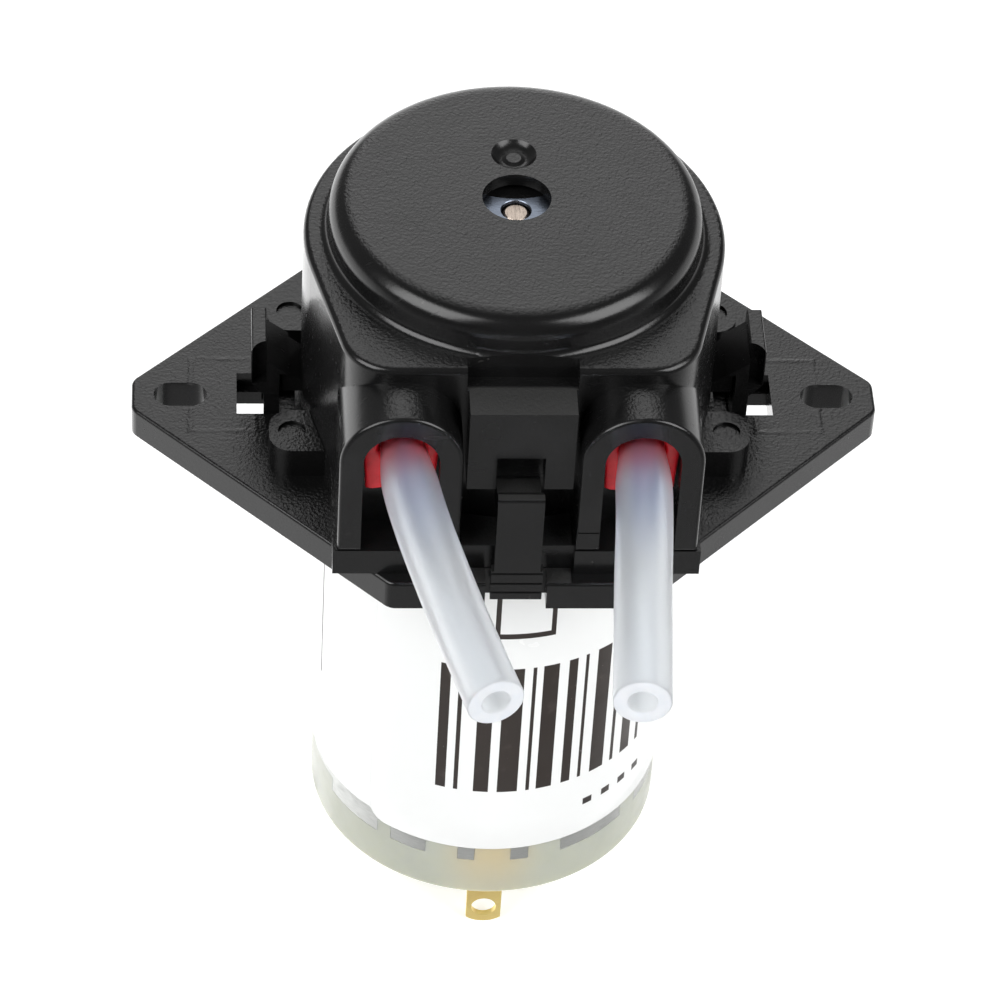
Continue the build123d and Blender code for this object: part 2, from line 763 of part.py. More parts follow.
with BuildPart() as motor_label:
    with BuildSketch(Plane.XY.offset(label_bottom)):
        Circle(label_r + label_t)
        Circle(label_r, mode=Mode.SUBTRACT)
    extrude(amount=label_top - label_bottom)
    skin_r = label_r + label_t
    overlap_r = (skin_r - label_t / 2, skin_r + label_t / 2)
    overlap = ring_sector(*overlap_r, overlap_deg, overlap_half_deg, label_bottom)
    extrude(overlap, amount=label_top - label_bottom)
finish("motor_label", motor_label.part)

with BuildPart() as motor_endbell:
    with BuildSketch(Plane.XY.offset(endbell_bottom)):
        Circle(endbell_r)
    extrude(amount=can_bottom - endbell_bottom)
    fillet(faces().sort_by(Axis.Z)[0].edges(), radius=endbell_edge_r)
    with BuildSketch(Plane.XY.offset(can_bottom)):
        Circle(spigot_r)
    extrude(amount=spigot_h)
    with BuildSketch(Plane.XY.offset(endbell_bottom)):
        Circle(rear_boss_r)
    extrude(amount=-rear_boss_h)
    with BuildSketch(Plane.XY.offset(endbell_bottom + endbell_floor_t)):
        Circle(endbell_inner_r)
        Circle(rear_boss_r, mode=Mode.SUBTRACT)
    extrude(amount=can_bottom + spigot_h - endbell_bottom, mode=Mode.SUBTRACT)
    with BuildSketch(Plane.XY.offset(endbell_hollow_z)):
        Circle(endbell_inner_r)
    extrude(amount=can_bottom + spigot_h - endbell_hollow_z, mode=Mode.SUBTRACT)
    with BuildSketch(Plane.XY.offset(rear_bearing_z[0])):
        Circle(bearing_r)
    extrude(amount=endbell_hollow_z - rear_bearing_z[0], mode=Mode.SUBTRACT)
    with BuildSketch(Plane.XY.offset(endbell_bottom)):
        with Locations((0, terminal_y), (0, -terminal_y)):
            Rectangle(2 * (terminal_half_w + terminal_gap), terminal_t + 2 * terminal_gap)
    extrude(amount=endbell_floor_t + 1, mode=Mode.SUBTRACT)
    pocket_r = (tab_r[0] - tab_gap, endbell_r + 1)
    for pocket in crimp_tab_sectors(pocket_r, tab_pocket_extra_deg, tab_bottom - tab_gap):
        extrude(pocket, amount=can_bottom - tab_bottom + tab_gap, mode=Mode.SUBTRACT)
finish("motor_endbell", motor_endbell.part)

for bearing_name, (low, high) in (("front_bearing", front_bearing_z), ("rear_bearing", rear_bearing_z)):
    with BuildPart() as bearing:
        with BuildSketch(Plane.XY.offset(low)):
            Circle(bearing_r)
            Circle(shaft_r + bearing_gap, mode=Mode.SUBTRACT)
        extrude(amount=high - low)
    finish(bearing_name, bearing.part)

screw_head_h = 1.7
screw_length = 3.1
screw_head_edge_r = 0.6
driver_slot = (2.6, 0.6)
driver_slot_depth = 0.8

with BuildPart() as motor_screws:
    screw_spots = [(screw_x, 0), (-screw_x, 0)]
    with BuildSketch(Plane.XY.offset(screw_head_seat)):
        with Locations(*screw_spots):
            Circle(screw_head_r)
    extrude(amount=screw_head_h)
    with BuildSketch(Plane.XY.offset(screw_head_seat)):
        with Locations(*screw_spots):
            Circle(screw_r)
    extrude(amount=-screw_length)
    fillet(faces().sort_by(Axis.Z)[-2:].edges(), radius=screw_head_edge_r)
    with BuildSketch(Plane.XY.offset(screw_head_seat + screw_head_h - driver_slot_depth)):
        with Locations(*screw_spots):
            Rectangle(*driver_slot)
            Rectangle(*reversed(driver_slot))
    extrude(amount=driver_slot_depth, mode=Mode.SUBTRACT)
finish("motor_screws", motor_screws.part)

# ---------------------------------------------------------------- motor magnets and brushes

magnet_r = (10.9, 12.95)
magnet_z = (-28.0, -5.0)
magnet_half_deg = 62
clip_r = (12.3, 12.9)
clip_z = (-24.0, -9.0)
clip_half_deg = 25

for magnet_name, middle in (("right_magnet", 0), ("left_magnet", 180)):
    with BuildPart() as magnet:
        segment = ring_sector(*magnet_r, middle, magnet_half_deg, magnet_z[0])
        extrude(segment, amount=magnet_z[1] - magnet_z[0])
    finish(magnet_name, magnet.part)

with BuildPart() as magnet_clip:
    extrude(ring_sector(*clip_r, 90, clip_half_deg, clip_z[0]), amount=clip_z[1] - clip_z[0])
finish("magnet_clip", magnet_clip.part)

terminal_top = -33.6
terminal_tip_h = 0.5
terminal_hole_r = 1.0
brush_z = (-31.0, -28.2)
brush_y = 4.5
brush_size = (2.2, 2.8)
commutator_r = 3.0
brush_arc_gap = 0.08
arm_w = 2.0
arm_t = 0.3
arm_inner_y = 5.9
arm_outer_y = terminal_y - terminal_t / 2
arm_top_z = -28.4
arm_foot_z = -36.0
arm_bend_z = (-31.0, -33.2)

for direction, side_name in ((-1, "front"), (1, "rear")):
    with BuildPart() as terminal:
        terminal_back = Plane(
            origin=(0, direction * terminal_y - terminal_t / 2, 0), x_dir=(1, 0, 0), z_dir=(0, -1, 0)
        )
        with BuildSketch(terminal_back):
            with BuildLine():
                shoulder = terminal_bottom + terminal_tip_h
                Line((terminal_half_w, shoulder), (terminal_half_w, terminal_top))
                Line((terminal_half_w, terminal_top), (-terminal_half_w, terminal_top))
                Line((-terminal_half_w, terminal_top), (-terminal_half_w, shoulder))
                ThreePointArc((-terminal_half_w, shoulder), (0, terminal_bottom), (terminal_half_w, shoulder))
            make_face()
            with Locations((0, terminal_hole_z)):
                Circle(terminal_hole_r, mode=Mode.SUBTRACT)
        extrude(amount=-terminal_t)
    finish(f"{side_name}_terminal", terminal.part)

    with BuildPart() as brush:
        with BuildSketch(Plane.XY.offset(brush_z[0])):
            with Locations((0, direction * brush_y)):
                Rectangle(*brush_size)
            Circle(commutator_r + brush_arc_gap, mode=Mode.SUBTRACT)
        extrude(amount=brush_z[1] - brush_z[0])
    finish(f"{side_name}_brush", brush.part)

    # A bent strip from the brush's back to the terminal's inner face.
    with BuildPart() as brush_arm:
        with BuildSketch(Plane.YZ.offset(-arm_w / 2)):
            with BuildLine():
                Polyline(
                    (direction * arm_inner_y, arm_bend_z[0]),
                    (direction * arm_inner_y, arm_top_z),
                    (direction * (arm_inner_y + arm_t), arm_top_z),
                    (direction * (arm_inner_y + arm_t), arm_bend_z[0] + arm_t),
                    (direction * arm_outer_y, arm_bend_z[1] + arm_t),
                    (direction * arm_outer_y, arm_foot_z),
                    (direction * (arm_outer_y - arm_t), arm_foot_z),
                    (direction * (arm_outer_y - arm_t), arm_bend_z[1]),
                    close=True,
                )
            make_face()
        extrude(amount=arm_w)
    finish(f"{side_name}_brush_arm", brush_arm.part)

# ---------------------------------------------------------------- armature

shaft_bottom = -39.2
shaft_chamfer = 0.2
core_r = 9.9
core_z = (-24.0, -9.0)
core_slot_r = (4.3, 8.7)
core_slot_half_deg = 22
slot_mouth_half_deg = 4.5
coil_r = (4.5, 8.5)
coil_z = (-26.2, -6.8)
coil_half_deg = 20
coil_end_gap = 0.1
pole_count = 5
commutator_z = (-32.2, -27.2)
commutator_cut = (0.8, 0.35)
washer_r = 2.2
washer_t = 0.4
washer_levels = (-1.5, -36.1)

with BuildPart() as motor_shaft:
    with BuildSketch(Plane.XY.offset(shaft_bottom)):
        Circle(shaft_r)
    extrude(amount=shaft_top - shaft_bottom)
    chamfer(edges().sort_by(Axis.Z)[-1], length=shaft_chamfer)
finish("motor_shaft", motor_shaft.part)

with BuildPart() as armature_core:
    core_h = core_z[1] - core_z[0]
    with BuildSketch(Plane.XY.offset(core_z[0])):
        Circle(core_r)
        Circle(shaft_r, mode=Mode.SUBTRACT)
    extrude(amount=core_h)
    for pole in range(pole_count):
        slot_deg = pole * 360 / pole_count
        slot = ring_sector(*core_slot_r, slot_deg, core_slot_half_deg, core_z[0])
        extrude(slot, amount=core_h, mode=Mode.SUBTRACT)
        mouth = ring_sector(core_slot_r[1] - 0.2, core_r + 0.3, slot_deg, slot_mouth_half_deg, core_z[0])
        extrude(mouth, amount=core_h, mode=Mode.SUBTRACT)
finish("armature_core", armature_core.part)

with BuildPart() as armature_windings:
    for pole in range(pole_count):
        bundle = ring_sector(*coil_r, pole * 360 / pole_count, coil_half_deg, coil_z[0])
        extrude(bundle, amount=coil_z[1] - coil_z[0])
    for low, high in ((coil_z[0], core_z[0] - coil_end_gap), (core_z[1] + coil_end_gap, coil_z[1])):
        with BuildSketch(Plane.XY.offset(low)):
            Circle(coil_r[1])
            Circle(coil_r[0], mode=Mode.SUBTRACT)
        extrude(amount=high - low)
finish("armature_windings", armature_windings.part)

with BuildPart() as commutator:
    with BuildSketch(Plane.XY.offset(commutator_z[0])):
        Circle(commutator_r)
        Circle(shaft_r, mode=Mode.SUBTRACT)
        with PolarLocations(commutator_r, pole_count):
            Rectangle(*commutator_cut, mode=Mode.SUBTRACT)
    extrude(amount=commutator_z[1] - commutator_z[0])
finish("commutator", commutator.part)

with BuildPart() as shaft_washers:
    for low in washer_levels:
        with BuildSketch(Plane.XY.offset(low)):
            Circle(washer_r)
            Circle(shaft_r, mode=Mode.SUBTRACT)
        extrude(amount=washer_t)
finish("shaft_washers", shaft_washers.part)
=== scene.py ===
"""Looks of the panel-mounted peristaltic pump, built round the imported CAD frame. Lengths are in metres."""

import json
import math

import bpy
from mathutils import Matrix, Vector


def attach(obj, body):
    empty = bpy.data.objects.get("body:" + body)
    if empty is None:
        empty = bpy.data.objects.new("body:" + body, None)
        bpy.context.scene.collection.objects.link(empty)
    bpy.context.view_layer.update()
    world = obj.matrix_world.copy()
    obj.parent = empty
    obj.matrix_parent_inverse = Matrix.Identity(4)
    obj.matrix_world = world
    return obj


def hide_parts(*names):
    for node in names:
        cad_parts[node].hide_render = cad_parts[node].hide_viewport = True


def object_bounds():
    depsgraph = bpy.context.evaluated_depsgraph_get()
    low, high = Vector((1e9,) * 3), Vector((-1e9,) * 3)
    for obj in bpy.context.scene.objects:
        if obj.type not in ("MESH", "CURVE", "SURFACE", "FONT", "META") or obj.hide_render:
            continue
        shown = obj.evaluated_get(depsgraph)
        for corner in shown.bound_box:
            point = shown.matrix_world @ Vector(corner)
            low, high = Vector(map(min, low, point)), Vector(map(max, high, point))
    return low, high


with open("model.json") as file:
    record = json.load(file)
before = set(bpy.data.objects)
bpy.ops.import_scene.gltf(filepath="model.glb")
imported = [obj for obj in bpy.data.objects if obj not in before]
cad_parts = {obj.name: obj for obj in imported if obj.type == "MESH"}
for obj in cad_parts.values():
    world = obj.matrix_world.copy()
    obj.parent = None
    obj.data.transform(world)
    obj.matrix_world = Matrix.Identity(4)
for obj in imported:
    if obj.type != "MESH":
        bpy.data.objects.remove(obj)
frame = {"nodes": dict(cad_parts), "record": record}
cad_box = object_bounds()
nodes = frame["nodes"]
MM = 0.001


# ---------------------------------------------------------------- camera

camera_place = Vector((-23.48, -271.35, 257.25)) * MM
camera_forward = Vector((0.06221, 0.71286, -0.69854))
camera_right = Vector((0.99806, -0.04294, 0.04506))

camera_data = bpy.data.cameras.new("camera")
camera_data.lens = 177.16
camera_data.sensor_width = 36.0
camera_data.clip_start = 0.01
camera_data.clip_end = 10.0
camera = bpy.data.objects.new("camera", camera_data)
back = -camera_forward.normalized()
right = (camera_right - camera_right.dot(back) * back).normalized()
up = back.cross(right)
camera.matrix_world = Matrix.Translation(camera_place) @ Matrix((right, up, back)).transposed().to_4x4()
bpy.context.scene.collection.objects.link(camera)
bpy.context.scene.camera = camera


# ---------------------------------------------------------------- helpers for meshes


def add_piece(name, vertices, faces, body, smooth=True):
    mesh = bpy.data.meshes.new(name)
    mesh.from_pydata([tuple(vertex) for vertex in vertices], [], faces)
    mesh.update()
    if smooth:
        mesh.shade_smooth()
    piece = bpy.data.objects.new(name, mesh)
    bpy.context.scene.collection.objects.link(piece)
    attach(piece, body)
    return piece


def ring_faces(ring_count, sides, closed_rings, closed_sides):
    """Quads of a grid of rings; the first and last ring join when closed_rings says so."""
    faces = []
    for ring in range(ring_count if closed_rings else ring_count - 1):
        following = (ring + 1) % ring_count
        for step in range(sides if closed_sides else sides - 1):
            beside = (step + 1) % sides
            here, there = ring * sides, following * sides
            faces.append((here + step, there + step, there + beside, here + beside))
    return faces


def smoothstep(low, high, value):
    share = min(max((value - low) / (high - low), 0.0), 1.0)
    return share * share * (3 - 2 * share)


# ---------------------------------------------------------------- tube ends

port_z = 13.45 * MM
tube_r = 2.05 * MM
tube_bore_r = 1.0 * MM
pinched_r = 1.66 * MM
pinch_end = (5.4 * MM, 10.0 * MM)
tube_sides = 48
tube_rim = 0.12 * MM
# How far each ring of a cut end lies back from the cut, in rims, outside and in the bore.
outer_rim_rings = (1.0, 0.45, 0.15, 0.0)
bore_rim_rings = (0.0, 0.4, 1.0)
# Control points of each tube's line, across and along, in millimetres.
tube_routes = {
    "left": [(-8.65, -11.5), (-8.65, -17.4), (-7.75, -23.6), (-6.05, -30.75), (-4.4, -37.05), (-2.9, -42.2)],
    "right": [(8.65, -11.5), (8.65, -17.4), (8.45, -23.7), (7.85, -30.8), (7.45, -37.1), (7.1, -42.2)],
}


def spline_points(name, route):
    """Points along the smooth NURBS line that the route's points control."""
    curve = bpy.data.curves.new(name, "CURVE")
    curve.dimensions = "3D"
    curve.resolution_u = 16
    spline = curve.splines.new("NURBS")
    spline.points.add(len(route) - 1)
    for point, (x, y) in zip(spline.points, route):
        point.co = (x * MM, y * MM, port_z, 1)
    spline.order_u = 3
    spline.use_endpoint_u = True
    carrier = bpy.data.objects.new(name, curve)
    bpy.context.scene.collection.objects.link(carrier)
    bpy.context.view_layer.update()
    line = bpy.data.meshes.new_from_object(carrier)
    points = [vertex.co.copy() for vertex in line.vertices]
    bpy.data.objects.remove(carrier)
    bpy.data.curves.remove(curve)
    bpy.data.meshes.remove(line)
    return points


def tube_piece(name, points):
    """A hollow tube along the points: pinched inside its collar, with a softly rounded rim at each cut."""
    last = len(points) - 1
    sections = []
    travelled = 0.0
    for index, point in enumerate(points):
        if index:
            travelled += (point - points[index - 1]).length
        way = (points[min(index + 1, last)] - points[max(index - 1, 0)]).normalized()
        radius = pinched_r + (tube_r - pinched_r) * smoothstep(*pinch_end, travelled)
        sections.append((point, way, radius))
    start, start_way, start_r = sections[0]
    end, end_way, end_r = sections[-1]
    rings = [(start, start_way, start_r - tube_rim), (start + start_way * tube_rim, start_way, start_r)]
    rings += sections[1:-1]
    for sink in outer_rim_rings:
        rings.append((end - end_way * tube_rim * sink, end_way, end_r - tube_rim * (1 - sink) ** 2))
    for sink in bore_rim_rings:
        rings.append((end - end_way * tube_rim * sink, end_way, tube_bore_r + tube_rim * (1 - sink) ** 2))
    rings += [(point, way, tube_bore_r) for point, way, radius in reversed(sections[1:-1])]
    rings += [(start + start_way * tube_rim, start_way, tube_bore_r)]
    vertices = []
    for point, way, radius in rings:
        across = way.cross(Vector((0, 0, 1))).normalized()
        above = across.cross(way)
        for step in range(tube_sides):
            turn = 2 * math.pi * step / tube_sides
            vertices.append(point + radius * (math.cos(turn) * across + math.sin(turn) * above))
    faces = ring_faces(len(rings), tube_sides, True, True)
    piece = add_piece(name, vertices, faces, "pump_body")
    cut_ring = len(sections) + len(outer_rim_rings) - 1
    for polygon in piece.data.polygons:
        polygon.material_index = int(abs(polygon.index // tube_sides - cut_ring) <= 1)
    return piece


tube_ends = []
for side_name, route in tube_routes.items():
    line = spline_points(f"{side_name}_route", route)
    piece = tube_piece(f"{side_name}_tube_end", line)
    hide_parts(f"tube_end_{side_name}")
    tube_ends.append(piece)


# ---------------------------------------------------------------- tube collars

collar_arch_r = 2.72 * MM
collar_bore_r = 1.7 * MM
collar_foot_z = 9.5 * MM
collar_front_y = -17.55 * MM
collar_back_y = -15.85 * MM
collar_edge = 0.22 * MM
collar_slant = {-1: 0.9 * MM, 1: 0.1 * MM}
port_x = 8.65 * MM
collar_steps = 24
collar_corner = 0.12
collar_corner_rise = 0.06
# Each ring's depth as a share of the collar's, and how far it is drawn in or spread, in edge widths.
collar_edge_rings = ((0.0, 1.0), (0.03, 0.45), (0.12, 0.0), (1.0, 0.0))


def collar_outline(inset, side):
    """Outer line of a collar, an arch on straight legs, drawn in from its real size by inset."""
    arch_r = collar_arch_r - inset
    points = []
    for step in range(collar_steps + 1):
        turn = math.pi * step / collar_steps
        points.append((arch_r * math.cos(turn), arch_r * math.sin(turn)))
    for step in range(1, collar_steps):
        share = step / collar_steps
        drop = (port_z - collar_foot_z - inset) - collar_slant[side] * share
        flat = smoothstep(0.0, collar_corner, share) * smoothstep(0.0, collar_corner, 1 - share)
        points.append((-arch_r + 2 * arch_r * share, -drop * (1 - collar_corner_rise * (1 - flat))))
    return points


def collar_piece(name, side):
    rings = []
    for depth, inset in reversed(collar_edge_rings):
        y = collar_front_y + depth * (collar_back_y - collar_front_y)
        drawn_in = collar_outline(inset * collar_edge, side)
        rings.append([(port_x * side + x, y, port_z + z) for x, z in drawn_in])
    outline = collar_outline(0.0, side)
    for depth, spread in collar_edge_rings:
        y = collar_front_y + depth * (collar_back_y - collar_front_y)
        bore = collar_bore_r + spread * collar_edge
        ring = []
        for x, z in outline:
            reach = math.hypot(x, z)
            ring.append((port_x * side + x / reach * bore, y, port_z + z / reach * bore))
        rings.append(ring)
    vertices = [point for ring in rings for point in ring]
    faces = ring_faces(len(rings), len(outline), True, True)
    piece = add_piece(name, vertices, faces, "pump_body")
    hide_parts(name.replace("_collar_body", "_tube_collar"))
    return piece


collars = [collar_piece("left_collar_body", -1), collar_piece("right_collar_body", 1)]


# ---------------------------------------------------------------- motor label

label_r = 13.87 * MM
label_t = 0.06 * MM
label_stand_off = 1.25 * label_t
# Where the inner end comes up against the sheet, in degrees before and after the outer end.
wrap_fade_deg = (-9, 1)
# The lower edge climbs towards the inner end over these degrees from the outer end.
climb_deg = (120, 300)
climbing_levels = 2
label_edge_share = 0.4
label_fill_share = 0.9
label_edge_h = 0.05 * MM
label_edge_deg = 0.15
label_top = -0.9 * MM
label_bottom = -33.4 * MM
flap_deg = -43.0
under_end_deg = -29.0
under_rise = 0.8 * MM
label_step_deg = 1.5
flap_corner_r = 1.5 * MM
flap_corner_shares = (0.05, 0.15, 0.3, 0.5, 0.75, 1.0)
# Dark bars: start and end, in degrees from the front, going round to the right.
bar_spans = [
    (-19.5, -16.2), (-13.6, -12.2), (-7.2, -2.4), (0.4, 6.9), (9.6, 10.8), (13.0, 18.2),
    (21.5, 24.6), (27.4, 28.6), (32.0, 37.4), (40.4, 41.8), (45.2, 49.6), (53.0, 54.6),
]
bar_z = (-26.7 * MM, -12.9 * MM)
side_line_span = (-73.9, -72.9)
side_line_z = (-23.5 * MM, -11.2 * MM)
# A blank field's outline near the top and a row of short dashes below the bars.
field_spans = [(-3.2, -1.6), (14.4, 16.0)]
field_z = (-9.6 * MM, -3.0 * MM)
field_rule = 0.55 * MM
dash_spans = [(30.5, 34.0), (38.0, 41.5), (45.5, 49.0), (53.0, 56.5)]
dash_z = (-30.3 * MM, -29.6 * MM)


def is_ink(degrees, z):
    """Whether this place of the label is printed dark."""
    def within(span, value):
        return span[0] < value < span[1]

    if within(side_line_span, degrees) and within(side_line_z, z):
        return True
    if within(bar_z, z) and any(within(span, degrees) for span in bar_spans):
        return True
    if within(dash_z, z) and any(within(span, degrees) for span in dash_spans):
        return True
    if within(field_z, z) and field_spans[0][0] < degrees < field_spans[1][1]:
        upright = any(within(span, degrees) for span in field_spans)
        return upright or z < field_z[0] + field_rule or z > field_z[1] - field_rule
    return False


def label_piece():
    """One sheet wrapped a little more than once round the motor: it starts under its own outer end."""
    start = flap_deg
    stop = flap_deg + 360 + (under_end_deg - flap_deg)
    corner_deg = math.degrees(flap_corner_r / label_r)
    columns = {start, stop, start + label_edge_deg, stop - label_edge_deg}
    columns |= {start + share * corner_deg for share in flap_corner_shares}
    for span in bar_spans + [side_line_span] + field_spans + dash_spans:
        columns |= {edge if edge > start else edge + 360 for edge in span}
    degrees = start
    while degrees < stop:
        columns.add(degrees)
        degrees += label_step_deg
    columns = sorted(columns)
    heights = {*bar_z, *side_line_z, *field_z, *dash_z, field_z[0] + field_rule, field_z[1] - field_rule}
    heights |= {label_bottom, label_bottom + label_edge_h, label_top - label_edge_h, label_top}
    levels = sorted(heights)
    front, back_face = [], []
    for degrees in columns:
        wrapped = smoothstep(*(flap_deg + 360 + fade for fade in wrap_fade_deg), degrees)
        under = smoothstep(*(flap_deg + climb for climb in climb_deg), degrees)
        radius = label_r + (1 - wrapped) * label_stand_off
        turn = math.radians(degrees - 90)
        from_corner = max(flap_corner_r - math.radians(degrees - start) * label_r, 0.0)
        rounding = flap_corner_r - math.sqrt(flap_corner_r**2 - from_corner**2)
        for index, z in enumerate(levels):
            lift = under_rise * under + rounding if index < climbing_levels else 0.0
            direction = Vector((math.cos(turn), math.sin(turn), 0))
            at_edge = label_edge_share if index in (0, len(levels) - 1) else 1.0
            thickness = label_t * at_edge * label_fill_share
            front.append(direction * (radius + thickness) + Vector((0, 0, z + lift)))
            back_face.append(direction * radius + Vector((0, 0, z + lift)))
    rows = len(levels)
    count = len(front)
    faces, dark = [], []
    for column in range(len(columns) - 1):
        middle = (columns[column] + columns[column + 1]) / 2
        place = middle if middle < 180 else middle - 360
        printed = middle < flap_deg + 360
        for row in range(rows - 1):
            corner = column * rows + row
            faces.append((corner, corner + rows, corner + rows + 1, corner + 1))
            dark.append(printed and is_ink(place, (levels[row] + levels[row + 1]) / 2))
            behind = count + corner
            faces.append((behind, behind + 1, behind + rows + 1, behind + rows))
            dark.append(False)
        for row in (0, rows - 1):
            corner = column * rows + row
            edge = (corner, count + corner, count + corner + rows, corner + rows)
            faces.append(edge if row == 0 else tuple(reversed(edge)))
            dark.append(False)
    for column in (0, len(columns) - 1):
        for row in range(rows - 1):
            corner = column * rows + row
            edge = (corner, corner + 1, count + corner + 1, count + corner)
            faces.append(edge if column == 0 else tuple(reversed(edge)))
            dark.append(False)
    piece = add_piece("label_sheet", front + back_face, faces, "pump_body")
    for polygon, printed in zip(piece.data.polygons, dark):
        polygon.material_index = int(printed)
    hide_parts("motor_label")
    return piece


label_sheet = label_piece()


# ---------------------------------------------------------------- materials


def plug(tree, socket, value):
    """Feeds a node's socket from another node, or sets its own value."""
    if isinstance(value, bpy.types.NodeSocket):
        tree.links.new(value, socket)
    elif socket.type == "RGBA" and len(value) == 3:
        socket.default_value = (*value, 1)
    else:
        socket.default_value = value


def math_node(tree, operation, first, second):
    made = tree.nodes.new("ShaderNodeMath")
    made.operation = operation
    plug(tree, made.inputs[0], first)
    plug(tree, made.inputs[1], second)
    return made.outputs["Value"]


def ease_node(tree, value, low, high, to_low, to_high):
    """Goes smoothly from to_low to to_high while the value goes from low to high."""
    made = tree.nodes.new("ShaderNodeMapRange")
    made.interpolation_type = "SMOOTHSTEP"
    sockets = ("Value", "From Min", "From Max", "To Min", "To Max")
    for socket, number in zip(sockets, (value, low, high, to_low, to_high)):
        plug(tree, made.inputs[socket], number)
    return made.outputs["Result"]


class Shading:
    """Builds one material's node tree round its Principled shader."""

    def __init__(self, name, color, roughness, **sockets):
        self.material = bpy.data.materials.new(name)
        self.material.use_nodes = True
        self.tree = self.material.node_tree
        self.shader = self.tree.nodes["Principled BSDF"]
        self.feed(self.shader, Base_Color=color, Roughness=roughness, **sockets)
        self.color = color
        self.roughness = roughness
        self.place = self.node("ShaderNodeTexCoord").outputs["Object"]
        self.normal = None

    def feed(self, node, **inputs):
        for name, value in inputs.items():
            plug(self.tree, node.inputs[name.replace("_", " ")], value)

    def node(self, kind, **inputs):
        made = self.tree.nodes.new(kind)
        self.feed(made, **inputs)
        return made

    def noise(self, scale, detail=3.0, stretch=None, roughness=0.55):
        place = self.place
        if stretch:
            mapping = self.node("ShaderNodeMapping", Vector=place, Scale=stretch)
            place = mapping.outputs["Vector"]
        made = self.node("ShaderNodeTexNoise", Vector=place, Scale=scale, Detail=detail, Roughness=roughness)
        return made.outputs["Fac"]

    def ramp(self, value, low, high, to_low=0.0, to_high=1.0):
        return ease_node(self.tree, value, low, high, to_low, to_high)

    def math(self, operation, first, second=0.0):
        return math_node(self.tree, operation, first, second)

    def axis(self, vector, name):
        return self.node("ShaderNodeSeparateXYZ", Vector=vector).outputs[name]

    def mix(self, share, first, second):
        made = self.tree.nodes.new("ShaderNodeMix")
        made.data_type = "RGBA"
        for index, value in zip((0, 6, 7), (share, first, second)):
            plug(self.tree, made.inputs[index], value)
        return made.outputs[2]

    def so_far(self, name, plain):
        """What feeds a socket of the shader by now, or else its plain value."""
        links = self.shader.inputs[name].links
        return links[0].from_socket if links else plain

    def tint(self, share, color):
        """Lays another colour over what is there, as far as share says."""
        self.feed(self.shader, Base_Color=self.mix(share, self.so_far("Base Color", self.color), color))

    def polish(self, share, roughness):
        """Turns the roughness towards another value, as far as share says."""
        made = self.tree.nodes.new("ShaderNodeMix")
        for index, value in zip((0, 2, 3), (share, self.so_far("Roughness", self.roughness), roughness)):
            plug(self.tree, made.inputs[index], value)
        self.feed(self.shader, Roughness=made.outputs[0])

    def bump(self, height, distance, strength=1.0):
        made = self.node("ShaderNodeBump", Height=height, Distance=distance, Strength=strength)
        if self.normal:
            self.feed(made, Normal=self.normal)
        self.normal = made.outputs["Normal"]
        self.feed(self.shader, Normal=self.normal)


def moulded(name, color, roughness, grain, blotch=(0.0, 0.0, 0.0), **sockets):
    """Smooth moulded plastic: faint flow marks, a fine skin and small handling marks."""
    look = Shading(name, color, roughness, **sockets)
    look.tint(look.ramp(look.noise(160.0), 0.4, 0.75, 0.0, 0.5), blotch)
    look.polish(look.ramp(look.noise(420.0, 4.0), 0.35, 0.7), roughness * 1.5)
    look.bump(look.noise(1900.0, 3.0), grain)
    return look.material


# Frame of mould seams round each window of the plate.
seam_middle_x = 21.3 * MM
seam_half_x = 2.4 * MM
seam_half_y = 3.95 * MM
plate_top = 2.5 * MM


